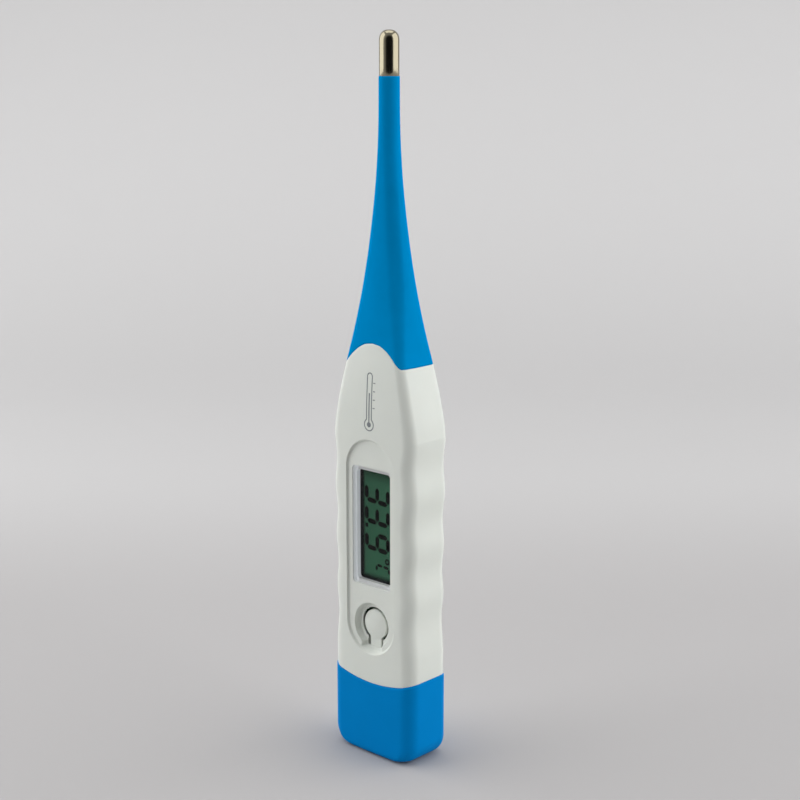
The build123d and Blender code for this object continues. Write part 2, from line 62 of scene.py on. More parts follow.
def smooth(table, z):
    """Monotone cubic through the table's rows, for an array of z."""
    xs, ys = np.array([p[0] for p in table], float), np.array([p[1] for p in table], float)
    h = np.diff(xs); d = np.diff(ys) / h
    m = np.zeros(len(xs)); m[0], m[-1] = d[0], d[-1]
    for i in range(1, len(xs) - 1):
        if d[i - 1] * d[i] > 0:
            m[i] = 2 * d[i - 1] * d[i] / (d[i - 1] + d[i])
    z = np.clip(np.asarray(z, float), xs[0], xs[-1])
    k = np.clip(np.searchsorted(xs, z, side="right") - 1, 0, len(xs) - 2)
    t = (z - xs[k]) / h[k]
    return ((2 * t**3 - 3 * t**2 + 1) * ys[k] + (t**3 - 2 * t**2 + t) * h[k] * m[k]
            + (-2 * t**3 + 3 * t**2) * ys[k + 1] + (t**3 - t**2) * h[k] * m[k + 1])


def half_width(z):
    z = np.asarray(z, float)
    xs, ys = np.array([p[0] for p in WAVES]), np.array([p[1] for p in WAVES])
    zc = np.clip(z, xs[0], xs[-1] - 1e-9)
    k = np.clip(np.searchsorted(xs, zc, side="right") - 1, 0, len(xs) - 2)
    t = (zc - xs[k]) / (xs[k + 1] - xs[k])
    low = ys[k] + (ys[k + 1] - ys[k]) * (1 - np.cos(np.pi * t)) / 2
    return np.where(z >= xs[-1], smooth(SHOULDER, z), low)


def step(a, b, x):
    t = np.clip((x - a) / (b - a), 0, 1)
    return t * t * t * (t * (6 * t - 15) + 10)


ARCH = [(0, 82.5), (1.7, 82.25), (3.4, 81.48), (4.9, 80.35), (6.2, 79.05), (7.25, 78.3), (12, 78.3)]


def arch(x):
    x = np.abs(x)
    return np.where(x > 7.2, 78.3 + 0 * x, smooth(ARCH, x))


def seam_low(x):
    return 15.2 + 0.0155 * np.asarray(x) ** 2


# columns round the section, front centre first, going to +X: each is (kind, parameter)
FEATURE_HALF = 6.95
front = np.concatenate([np.arange(0, 2.6, 0.13), np.arange(2.6, 6.95, 0.11)])
extra = [1.46, 1.50, 1.54, 1.96, 2.0, 2.04, 4.32, 4.36, 4.40, 4.44, 4.84, 4.88, 4.92, 4.96, 5.00, 5.05, 6.95]
front = np.unique(np.round(np.concatenate([front, extra]), 3))
front = front[np.concatenate([[True], np.diff(front) > 0.025])]


def make_columns(coarse=False):
    cols = []
    f = np.linspace(0, FEATURE_HALF, 24) if coarse else front
    cols += [("core", x) for x in f]
    cols += [("outer", t) for t in np.linspace(0, 1, 7)[1:]]
    cols += [("corner", t) for t in np.linspace(0, 1, 15)[1:]]
    cols += [("side", t) for t in np.linspace(0, 1, 13)[1:]]
    cols += [("bcorner", t) for t in np.linspace(0, 1, 15)[1:]]
    cols += [("back", t) for t in np.linspace(0, 1, 25)[1:]]
    return cols


def half_outline(z, cols, a=None, b=None, r=None, cf=None, cs=None):
    """x >= 0 half of the outline for each row z: arrays (rows, columns) of x and y."""
    z = np.asarray(z, float)
    a = half_width(z) if a is None else a
    b = smooth(THICK, z) if b is None else b
    r = smooth(CORNER, z) if r is None else r
    cf = smooth(CROWN_F, z) if cf is None else cf
    cs = smooth(CROWN_S, z) if cs is None else cs
    r = np.minimum(r, np.minimum(a, b) - 1e-4)
    fx, fy = a - r, b - r
    core = np.minimum(FEATURE_HALF, fx * 0.93)
    X, Y = [], []
    for kind, t in cols:
        if kind == "core":
            x, y = core * t / FEATURE_HALF, -b
        elif kind == "outer":
            x, y = core + (fx - core) * t, -b
        elif kind == "corner":
            th = t * math.pi / 2
            x, y = fx + r * math.sin(th), -fy - r * math.cos(th)
        elif kind == "side":
            x, y = a + 0 * fy, -fy + 2 * fy * t
        elif kind == "bcorner":
            th = t * math.pi / 2
            x, y = fx + r * math.cos(th), fy + r * math.sin(th)
        else:
            x, y = fx * (1 - t), b + 0 * fx
        x, y = x + 0 * a, y + 0 * a
        X.append(x * (1 - cs * (y / b) ** 2)); Y.append(y * (1 - cf * (x / a) ** 2))
    return np.stack(X, -1), np.stack(Y, -1)


def sd_round_rect(x, z, hw, z0, z1, r):
    cx, cz = np.abs(x) - (hw - r), np.abs(z - (z0 + z1) / 2) - ((z1 - z0) / 2 - r)
    return np.hypot(np.maximum(cx, 0), np.maximum(cz, 0)) + np.minimum(np.maximum(cx, cz), 0) - r


def sd_stadium(x, z, r, z0, z1):
    return np.hypot(x, z - np.clip(z, z0, z1)) - r


def smax(a, b, k):
    h = np.maximum(k - np.abs(a - b), 0) / k
    return np.maximum(a, b) + h * h * k / 4


BZ, HOLE_R = 26.8, 3.48


def hole_sd(x, z):
    circle = np.hypot(x, z - BZ) - HOLE_R
    slot = sd_round_rect(x, z, 2.0, 22.22, 26.0, 0.30)
    return np.minimum(circle, slot)


def features(x, y, z):
    """Lowers the front face for the panel, the window, the dish round the button and its channel."""
    on = (y < 0) & (np.abs(x) < 7.4) & (z > 19.0) & (z < 66.5)
    sd = sd_stadium(x, z, 6.2, 27.4, 57.8)
    panel = np.where(sd < 0.6, -5.87 + 0.60 * step(0.22, -0.24, sd), -9)
    out = np.where(sd < 0.6, smax(y, panel, 0.10), y)
    rr = np.hypot(x, z - BZ)
    prof_r = np.array([0, 4.06, 4.18, 4.28, 4.38, 4.48, 4.58, 4.74, 4.90])
    prof_y = np.array([-4.12, -4.12, -4.15, -4.27, -4.50, -4.84, -5.27, -5.95, -6.60])
    dish = np.interp(rr, prof_r, prof_y)
    out = smax(out, np.where(rr < 4.90, dish, -9), 0.06)
    # valley beside the tongue, closed at its foot by the panel's own end wall
    w = sd_round_rect(x, z, 2.06, 20.4, 25.4, 0.3)
    chan = np.where(w < 1.6, -4.14 - np.interp(w, [0.0, 0.14, 0.62, 0.95], [0.0, 0.10, 1.13, 2.1]), -9)
    chan = np.minimum(chan, -5.90 + 1.76 * step(0.26, -0.80, sd))
    out = np.where(z < BZ, smax(out, chan, 0.16), out)
    win = sd_round_rect(x, z, 4.93, 34.87, 58.33, 0.85)
    out = np.where(win < 0.12, smax(out, -5.35 + np.clip(0.06 - win, 0, 1) * 14.0, 0.10), out)
    out = np.where((win < -0.02), np.minimum(out, -4.35), out)
    return np.where(on, out, y)


def snap(x, z, on, sd, cell):
    """Moves grid points that lie close to the outline sd = 0 onto it."""
    d = sd(x, z); e = 1e-3
    gx, gz = (sd(x + e, z) - sd(x - e, z)) / (2 * e), (sd(x, z + e) - sd(x, z - e)) / (2 * e)
    near = on & (np.abs(d) < cell)
    return np.where(near, x - d * gx, x), np.where(near, z - d * gz, z)


def new_object(name, verts, faces, smooth_shade=True, merge=True):
    me = bpy.data.meshes.new(name)
    me.from_pydata([tuple(v) for v in verts], [], [tuple(f) for f in faces])
    bm = bmesh.new(); bm.from_mesh(me)
    if merge:
        bmesh.ops.remove_doubles(bm, verts=bm.verts, dist=2e-7)
    bmesh.ops.dissolve_degenerate(bm, edges=bm.edges, dist=1e-8)
    loose = [v for v in bm.verts if not v.link_faces]
    bmesh.ops.delete(bm, geom=loose, context="VERTS")
    bmesh.ops.recalc_face_normals(bm, faces=bm.faces)
    bm.to_mesh(me); bm.free()
    for p in me.polygons:
        p.use_smooth = smooth_shade
    o = bpy.data.objects.new(name, me)
    bpy.context.scene.collection.objects.link(o)
    return o


def tube(name, rings, cap_start=False, cap_end=False, drop=None, close=False):
    """Mesh from rings of equal length, each an array (n, 3) in mm."""
    n = len(rings[0]); v = np.concatenate(rings) * MM
    faces = []
    m = len(rings)
    for i in range(m if close else m - 1):
        a, b = i * n, ((i + 1) % m) * n
        for j in range(n):
            k = (j + 1) % n
            if drop is not None and i < m - 1 and drop[i, j]:
                continue
            faces.append((a + j, a + k, b + k, b + j))
    if cap_start:
        faces.append(tuple(range(n))[::-1])
    if cap_end:
        faces.append(tuple(range((m - 1) * n, m * n)))
    return new_object(name, v, faces)


def full_ring(X, Y, Z):
    """Mirrors the x >= 0 half rows to whole rings (rows, columns, 3)."""
    x = np.concatenate([X, -X[:, -2:0:-1]], 1)
    y = np.concatenate([Y, Y[:, -2:0:-1]], 1)
    z = np.concatenate([Z, Z[:, -2:0:-1]], 1)
    return np.stack([x, y, z], -1)


# ------------------------------------------------------------------ housing shell
cols = make_columns()
zr = np.concatenate([np.linspace(15.2, 20.4, 22), np.arange(20.5, 66.0, 0.12), np.linspace(66.1, 78.3, 42)])
near_z = [34.80, 34.84, 34.88, 34.92, 34.96, 58.25, 58.29, 58.33, 58.37, 35.46, 35.50, 35.54, 57.61, 57.65, 57.69]
zr = np.unique(np.round(np.concatenate([zr, near_z]), 3)); zr = zr[np.concatenate([[True], np.diff(zr) > 0.025])]


def shear(zr, cols):
    Z = np.repeat(zr[:, None], len(cols), 1)
    fl = 1 - step(15.2, 20.4, zr)[:, None]
    fu = step(66.0, 78.3, zr)[:, None]
    X, Y = half_outline(zr, cols)
    for _ in range(3):
        Z = zr[:, None] + (seam_low(X) - 15.2) * fl + (arch(X) - 78.3) * fu
        X, Y = outline_at(Z, cols)
    return X, Y, Z


def outline_at(Z, cols):
    """Outline where each column has its own z."""
    X, Y = np.empty_like(Z), np.empty_like(Z)
    for j, c in enumerate(cols):
        x, y = half_outline(Z[:, j], [c])
        X[:, j], Y[:, j] = x[:, 0], y[:, 0]
    return X, Y


X, Y, Z = shear(zr, cols)
nf = sum(1 for c in cols if c[0] in ("core", "outer"))
on = np.zeros_like(X, bool); on[:, :nf] = True; on &= (Z > 20.6) & (Z < 65.5)
for sd, cell in ((hole_sd, 0.065), (lambda x, z: sd_round_rect(x, z, 4.40, 35.50, 57.65, 0.75), 0.06),
                 (lambda x, z: np.hypot(x, z - BZ) - 4.58, 0.055), (lambda x, z: np.hypot(x, z - BZ) - 4.20, 0.055),
                 (lambda x, z: sd_round_rect(x, z, 4.93, 34.87, 58.33, 0.85), 0.05)):
    keep0 = X[:, 0].copy()
    X, Z = snap(X, Z, on, sd, cell)
    X[:, 0] = keep0
Y = np.where(on, features(X, Y, Z), Y)
rings = full_ring(X, Y, Z)
cen = (rings[:-1] + np.roll(rings, -1, 1)[:-1] + rings[1:] + np.roll(rings, -1, 1)[1:]) / 4
isf = (cen[..., 1] < 0) & (cen[..., 2] > 20.6) & (cen[..., 2] < 65.5) & (np.abs(cen[..., 0]) < 7)
drop = isf & ((hole_sd(cen[..., 0], cen[..., 2]) < 0) | (sd_round_rect(cen[..., 0], cen[..., 2], 4.40, 35.50, 57.65, 0.75) < 0))


def inset(ring, d, dz=0.0):
    """A ring moved inwards by d and along z by dz."""
    r = ring.copy()
    t = np.roll(ring, -1, 0) - np.roll(ring, 1, 0)
    n = np.stack([t[:, 1], -t[:, 0]], -1); n /= np.maximum(np.linalg.norm(n, axis=1, keepdims=True), 1e-9)
    r[:, :2] -= n * d * np.sign(np.sum(n * ring[:, :2], 1).mean())
    r[:, 2] += dz
    return r


lower = [inset(rings[0], 1.10, 0.10), inset(rings[0], 0.10, 0.0), inset(rings[0], 0.03, 0.03)]
upper = [inset(rings[-1], 0.03, 0.0), inset(rings[-1], 0.09, 0.05), inset(rings[-1], 0.9, 0.05)]
rows = lower + list(rings[1:-1]) + upper
pad = np.zeros((len(rows) - 1, drop.shape[1]), bool)
off = len(lower) - 1
pad[off:off + drop.shape[0], :] = drop
shell = tube("housing_shell", rows, drop=pad)
# the wall's thickness round the openings: border edges of the window and the button hole go straight back
bm = bmesh.new(); bm.from_mesh(shell.data)
border = [e for e in bm.edges if e.is_boundary and 0.0206 < (e.verts[0].co.z) < 0.0655 and e.verts[0].co.y < 0 and abs(e.verts[0].co.x) < 0.0072]
ret = bmesh.ops.extrude_edge_only(bm, edges=border)
hole_edges = []
for g in ret["geom"]:
    if isinstance(g, bmesh.types.BMVert):
        g.co.y = g.co.y + 0.00030 if g.co.z < 0.033 else -0.003445
    elif isinstance(g, bmesh.types.BMEdge) and g.is_boundary and g.verts[0].co.z < 0.033:
        hole_edges.append(g)
for out_by, to_y in ((0.00055, None), (0.00055, -0.00292)):
    ret = bmesh.ops.extrude_edge_only(bm, edges=hole_edges)
    hole_edges = [g for g in ret["geom"] if isinstance(g, bmesh.types.BMEdge) and g.is_boundary]
    for g in ret["geom"]:
        if isinstance(g, bmesh.types.BMVert):
            if to_y is None:
                away = Vector((g.co.x, 0, g.co.z - 0.0258))
                if away.length > 1e-6:
                    g.co += away.normalized() * out_by
                g.co.y += 0.00004
            else:
                g.co.y = to_y
bmesh.ops.recalc_face_normals(bm, faces=bm.faces)
bm.to_mesh(shell.data); bm.free()
for p in shell.data.polygons:
    p.use_smooth = True
shell.data.set_sharp_from_angle(angle=math.radians(52))
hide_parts("housing"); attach(shell, "body")

# ------------------------------------------------------------------ spigot the cap slides over
def plain_ring(a, b, r, z, n=14, cx=0.0, cy=0.0):
    pts = []
    for sx, sy, t0 in ((1, -1, -90), (1, 1, 0), (-1, 1, 90), (-1, -1, 180)):
        for i in range(n):
            th = math.radians(t0 + 90 * i / (n - 1))
            pts.append((cx + sx * (a - r) + r * math.cos(th), cy + sy * (b - r) + r * math.sin(th), z))
    return np.array(pts, float)


def ring_stack(name, specs, **k):
    return tube(name, [plain_ring(*s) for s in specs], **k)


sp = [(9.38, 4.60, 1.9, 17.6), (9.38, 4.60, 1.9, 14.0), (9.30, 4.52, 1.85, 13.9), (8.96, 4.18, 1.5, 13.88), (8.96, 4.18, 1.5, 13.02),
      (9.30, 4.52, 1.85, 13.0), (9.38, 4.60, 1.9, 12.92), (9.38, 4.60, 1.9, 9.75), (9.30, 4.52, 1.85, 9.58), (9.14, 4.36, 1.7, 9.50)]
inner = [(8.72, 3.72, 1.0, 9.52, 14, 0, 0.15), (8.62, 3.62, 0.92, 9.65, 14, 0, 0.15), (8.60, 3.60, 0.9, 17.0, 14, 0, 0.15)]
spigot = ring_stack("housing_spigot", sp + inner)
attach(spigot, "body")

# ------------------------------------------------------------------ battery cap
cc = make_columns(True)
CA, CB, CR = 10.68, 5.90, 2.65
t = np.linspace(0, math.pi / 2, 26)
zc = 4.0 * (1 - np.cos(t)); aa = CA - 4.0 + 4.0 * np.sin(t); zb = np.clip(zc / 1.4, 0, 1)
bb = CB - 1.4 + 1.4 * np.sqrt(1 - (1 - zb) ** 2)
low_rings = []
for z, a, b in zip(zc, aa, bb):
    one = np.array([z]); r = min(CR, b - 1.4)
    x, y = half_outline(one, cc, a=one * 0 + a, b=one * 0 + b, r=one * 0 + r, cf=one * 0 + 0.030, cs=one * 0 + 0.008)
    low_rings.append(full_ring(x, y, np.full_like(x, z))[0])
flat_scale = [0.25, 0.6, 0.86, 0.97]
base = [low_rings[0] * np.array([k, k, 1]) for k in flat_scale]
up = []
for f in np.linspace(0, 1, 26)[1:]:
    one = np.array([4.0])
    x, y = half_outline(one, cc, a=one * 0 + CA, b=one * 0 + CB, r=one * 0 + CR, cf=one * 0 + 0.030, cs=one * 0 + 0.008)
    z = 4.0 + (seam_low(x) - 0.05 - 4.0) * f
    up.append(full_ring(x, y, z)[0])
outer = base + low_rings + up[:-1] + [inset(up[-1], 0.02, -0.10), inset(up[-1], 0.10, 0.0)]
lip = [inset(up[-1], 1.02, 0.0), inset(up[-1], 1.13, -0.12)]
inn = []
for z, a, b, r in ((12.0, 9.48, 4.70, 2.0), (4.2, 9.48, 4.70, 2.0), (2.6, 8.6, 4.2, 1.9), (1.6, 7.8, 3.7, 1.8)):
    one = np.array([z])
    x, y = half_outline(one, cc, a=one * 0 + a, b=one * 0 + b, r=one * 0 + r, cf=one * 0, cs=one * 0)
    inn.append(full_ring(x, y, np.full_like(x, z))[0])
inn.append(inn[-1] * np.array([0.4, 0.4, 1]))
cap = tube("battery_cap_shell", outer + lip + inn, cap_start=True, cap_end=True)
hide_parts("battery_cap"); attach(cap, "cap")

# ------------------------------------------------------------------ soft neck, in two lengths that share a ring
nc = make_columns(True)
nz = np.concatenate([np.linspace(82.5, 92, 34), np.linspace(92.3, 131.6, 118)])


def neck_rows():
    X, Y = half_outline(nz, nc)
    fade = (1 - step(82.5, 99.0, nz))[:, None]
    for _ in range(4):
        Z = nz[:, None] + (arch(X) - 82.5 + 0.03) * fade
        X, Y = outline_at(Z, nc)
    return full_ring(X, Y, Z)


nr = neck_rows()
cut = int(np.argmin(np.abs(nz - 107.75)))
start = [inset(nr[0], 0.9, 0.06), inset(nr[0], 0.12, 0.0), inset(nr[0], 0.03, 0.03)]
end = [inset(nr[-1], 0.02, 0.05), inset(nr[-1], 0.10, 0.10), inset(nr[-1], 0.9, 0.10)]
neck_a = tube("neck_skin_lower", start + list(nr[1:cut + 1]))
neck_b = tube("neck_skin_upper", list(nr[cut:-1]) + end)
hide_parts("neck_base", "neck_middle"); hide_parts("neck_end")
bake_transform(neck_a)
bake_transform(neck_b)

# ------------------------------------------------------------------ sensor leads, in two lengths split at the neck's shared ring
for part, z0, z1, a, b, s, e in (("lower", 70.0, 107.75, "body", "neck_mid", 0.093, 0.107), ("upper", 107.75, 136.4, "neck_mid", "probe", 0.1085, 0.1225)):
    v, f = [], []
    for sx in (-1, 1):
        rows_ = []
        for z in np.linspace(z0, z1, 60):
            x = sx * (0.28 + 1.3 * (1 - float(step(72.0, 81.0, z))))
            rows_.append([(x + 0.11 * math.cos(q), 0.11 * math.sin(q), z) for q in np.linspace(0, 2 * math.pi, 9)[:-1]])
        b0 = len(v)
        for r_ in rows_:
            v += r_
        for i in range(59):
            for j in range(8):
                k = (j + 1) % 8
                f.append((b0 + i * 8 + j, b0 + i * 8 + k, b0 + (i + 1) * 8 + k, b0 + (i + 1) * 8 + j))
        f.append(tuple(b0 + j for j in range(8))[::-1]); f.append(tuple(b0 + 59 * 8 + j for j in range(8)))
    o = new_object("sensor_leads_" + part, np.array(v) * MM, f)
    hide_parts("thermistor_leads")
    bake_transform(o)

# ------------------------------------------------------------------ metal tip
def lathe(name, prof, n=72, axis="Z", origin=(0, 0, 0)):
    """Closed solid of revolution from (radius, height) rows that start and end on the axis."""
    rows_ = []
    for r_, h in prof:
        r_ = max(r_, 1e-4)
        ring = []
        for i in range(n):
            q = 2 * math.pi * i / n
            p = (r_ * math.cos(q), r_ * math.sin(q), h) if axis == "Z" else (r_ * math.cos(q), h, r_ * math.sin(q))
            ring.append((p[0] + origin[0], p[1] + origin[1], p[2] + origin[2]))
        rows_.append(np.array(ring))
    return tube(name, rows_, cap_start=True, cap_end=True)


TR = 1.885
prof = [(1.60, 131.3), (TR - 0.03, 131.64), (TR, 131.70), (TR, 133.5), (TR, 136.0), (TR, 138.0)]
for i in range(1, 22):
    q = math.pi / 2 * i / 21
    prof.append((max(TR * math.cos(q) ** 0.78, 1e-3), 138.15 + 1.85 * math.sin(q) ** 1.0))
tip = lathe("probe_tip", prof)
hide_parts("probe_tip_cap"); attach(tip, "probe")

# ------------------------------------------------------------------ button: round head and tongue, as one height field
def button_mesh():
    xs = np.unique(np.round(np.concatenate([np.arange(-3.0, 3.01, 0.1), [-1.5, 1.5, -1.44, 1.44]]), 3))
    zs_ = np.unique(np.round(np.arange(21.62, 29.85, 0.1), 3))
    Xg, Zg = np.meshgrid(xs, zs_)

    def sd(x, z):
        disc = np.hypot(x, z - BZ) - 3.0
        tongue = np.maximum(np.abs(x) - 1.5, np.maximum(21.62 - z, z - 25.5))
        return np.minimum(disc, tongue)
    d = sd(Xg, Zg); e = 1e-3
    gx, gz = (sd(Xg + e, Zg) - sd(Xg - e, Zg)) / (2 * e), (sd(Xg, Zg + e) - sd(Xg, Zg - e)) / (2 * e)
    near = np.abs(d) < 0.075
    Xg, Zg = np.where(near, Xg - d * gx, Xg), np.where(near, Zg - d * gz, Zg)
    d = sd(Xg, Zg)
    rr = np.hypot(Xg, Zg - BZ)
    dome = -4.10 - 0.50 * np.clip(1 - (rr / 3.0) ** 2, 0, 1)
    flat = -4.07 - 0 * Zg
    mix = step(3.05, 2.6, rr)
    top = np.where(rr < 3.06, np.minimum(dome, flat), flat)
    top = top + 0.16 * np.clip(1 + np.minimum(d, 0) / 0.16, 0, 1) ** 2
    inside = d <= 1e-4
    idx = -np.ones(Xg.shape, int); v, f = [], []
    for (i, j) in zip(*np.where(inside)):
        idx[i, j] = len(v); v.append((Xg[i, j], top[i, j], Zg[i, j]))
    for i in range(Xg.shape[0] - 1):
        for j in range(Xg.shape[1] - 1):
            q = [idx[i, j], idx[i, j + 1], idx[i + 1, j + 1], idx[i + 1, j]]
            got = [k for k in q if k >= 0]
            if len(got) >= 3:
                f.append(tuple(got))
    o = new_object("button_key", np.array(v) * MM, f)
    bm = bmesh.new(); bm.from_mesh(o.data)
    ret = bmesh.ops.extrude_edge_only(bm, edges=[e for e in bm.edges if e.is_boundary])
    nv = [g for g in ret["geom"] if isinstance(g, bmesh.types.BMVert)]
    for g in nv:
        g.co.y = -0.00330
    bmesh.ops.holes_fill(bm, edges=[e for e in bm.edges if e.is_boundary], sides=0)
    bmesh.ops.recalc_face_normals(bm, faces=bm.faces)
    bm.to_mesh(o.data); bm.free()
    for p in o.data.polygons:
        p.use_smooth = len(p.vertices) < 8
    return o


key = button_mesh()
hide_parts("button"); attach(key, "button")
stem = lathe("button_stem", [(0.001, -3.35), (0.9, -3.35), (0.75, -3.1), (0.55, -1.85), (0.25, -1.63), (0.001, -1.61)], n=28, axis="Y", origin=(0, 0, BZ))
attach(stem, "button")

# ------------------------------------------------------------------ display figures, just over the polariser
LCD_Y = -3.42


def flat_piece(name, polys, y0, y1):
    v, f = [], []
    for poly in polys:
        n = len(poly); b = len(v)
        v += [(x, y0, z) for x, z in poly] + [(x, y1, z) for x, z in poly]
        f.append(tuple(range(b, b + n))); f.append(tuple(range(b + n, b + 2 * n))[::-1])
        f += [(b + i, b + n + i, b + n + (i + 1) % n, b + (i + 1) % n) for i in range(n)]
    return new_object(name, np.array(v) * MM, f, smooth_shade=False)


def seg(x0, z0, x1, z1, w):
    dx, dz = x1 - x0, z1 - z0; n = math.hypot(dx, dz); ux, uz = dx / n, dz / n; px, pz = -uz, ux; h = w / 2
    return [(x0, z0), (x0 + ux * h + px * h, z0 + uz * h + pz * h), (x1 - ux * h + px * h, z1 - uz * h + pz * h), (x1, z1),
            (x1 - ux * h - px * h, z1 - uz * h - pz * h), (x0 + ux * h - px * h, z0 + uz * h - pz * h)]


def digit(zl, height, width, xb, on_, w):
    g = 0.12; xm, xt, zr_ = xb + height / 2, xb + height, zl - width
    s = {"d": (xb, zl - g, xb, zr_ + g), "g": (xm, zl - g, xm, zr_ + g), "a": (xt, zl - g, xt, zr_ + g),
         "e": (xb + g, zl, xm - g, zl), "f": (xm + g, zl, xt - g, zl), "c": (xb + g, zr_, xm - g, zr_), "b": (xm + g, zr_, xt - g, zr_)}
    return [seg(*s[k], w) for k in on_]


DX, DH, SW, LEAN = -2.70, 5.60, 0.98, 0.06
polys = digit(54.50, DH, 2.90, DX, "abcdg", SW) + digit(50.30, DH, 2.90, DX, "abcdg", SW) + digit(44.90, DH, 2.85, DX, "abcdfg", SW)
polys += digit(38.95, 3.3, 1.30, DX + 2.6, "adef", 0.54)
polys = [[(x, z - (x + 1.5) * LEAN) for x, z in poly] for poly in polys]
polys.append([(DX - 0.36, 46.03), (DX + 0.36, 46.03), (DX + 0.36, 46.81), (DX - 0.36, 46.81)])
ring_n = 20
for i in range(ring_n):
    q0, q1 = 2 * math.pi * i / ring_n, 2 * math.pi * (i + 1) / ring_n
    cx_, cz_ = 2.72, 39.95
    polys.append([(cx_ + 0.62 * math.cos(q0), cz_ + 0.62 * math.sin(q0)), (cx_ + 0.62 * math.cos(q1), cz_ + 0.62 * math.sin(q1)),
                  (cx_ + 0.25 * math.cos(q1), cz_ + 0.25 * math.sin(q1)), (cx_ + 0.25 * math.cos(q0), cz_ + 0.25 * math.sin(q0))])
figures = flat_piece("display_figures", polys, LCD_Y - 0.022, LCD_Y - 0.006)
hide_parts("lcd_segments"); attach(figures, "body")

# ------------------------------------------------------------------ plain printed pictogram on the front, a thermometer outline
def ribbon(path, w, closed=False):
    out = []
    if closed:
        path = path + path[:1]; closed = False
    fine = [path[0]]
    for (x0, z0), (x1, z1) in zip(path, path[1:]):
        k = max(1, int(math.ceil(math.hypot(x1 - x0, z1 - z0) / 0.35)))
        fine += [(x0 + (x1 - x0) * i / k, z0 + (z1 - z0) * i / k) for i in range(1, k + 1)]
    path = fine
    n = len(path)
    for i in range(n if closed else n - 1):
        (x0, z0), (x1, z1) = path[i], path[(i + 1) % n]
        d = math.hypot(x1 - x0, z1 - z0)
        if d < 1e-6:
            continue
        px, pz = -(z1 - z0) / d * w / 2, (x1 - x0) / d * w / 2
        out.append([(x0 + px, z0 + pz), (x1 + px, z1 + pz), (x1 - px, z1 - pz), (x0 - px, z0 - pz)])
    return out


mark = []
bulb = [(1.15 * math.sin(q), 67.1 + 1.15 * math.cos(q)) for q in np.linspace(math.radians(33), math.radians(327), 28)]
head = [(0.62 * math.cos(q), 76.4 + 0.62 * math.sin(q)) for q in np.linspace(math.pi, 0, 12)]
mark += ribbon(bulb + head, 0.20, closed=True)
mark += [[(0.5 * math.cos(q), 67.1 + 0.5 * math.sin(q)) for q in np.linspace(0, 2 * math.pi, 25)[:-1]]]
mark += ribbon([(0, 67.5), (0, 73.2)], 0.26)
for zt in (70.4, 72.0, 73.6, 75.2):
    mark += ribbon([(0.95, zt), (1.45, zt)], 0.16)
v, f = [], []
for poly in mark:
    n = len(poly); b0 = len(v)
    for lift in (0.022, -0.02):
        for x, z in poly:
            bz, az, cfz = float(smooth(THICK, z)), float(half_width(z)), float(smooth(CROWN_F, z))
            v.append((x, -bz * (1 - cfz * (x / az) ** 2) - lift, z))
    f.append(tuple(range(b0, b0 + n))); f.append(tuple(range(b0 + n, b0 + 2 * n))[::-1])
    f += [(b0 + i, b0 + n + i, b0 + n + (i + 1) % n, b0 + (i + 1) % n) for i in range(n)]
pict = new_object("printed_pictogram", np.array(v) * MM, f, smooth_shade=False, merge=False)
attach(pict, "body")

# ------------------------------------------------------------------ materials
def lin(r, g, b):
    c = [x / 255 for x in (r, g, b)]
    return tuple(x / 12.92 if x <= 0.04045 else ((x + 0.055) / 1.055) ** 2.4 for x in c) + (1.0,)


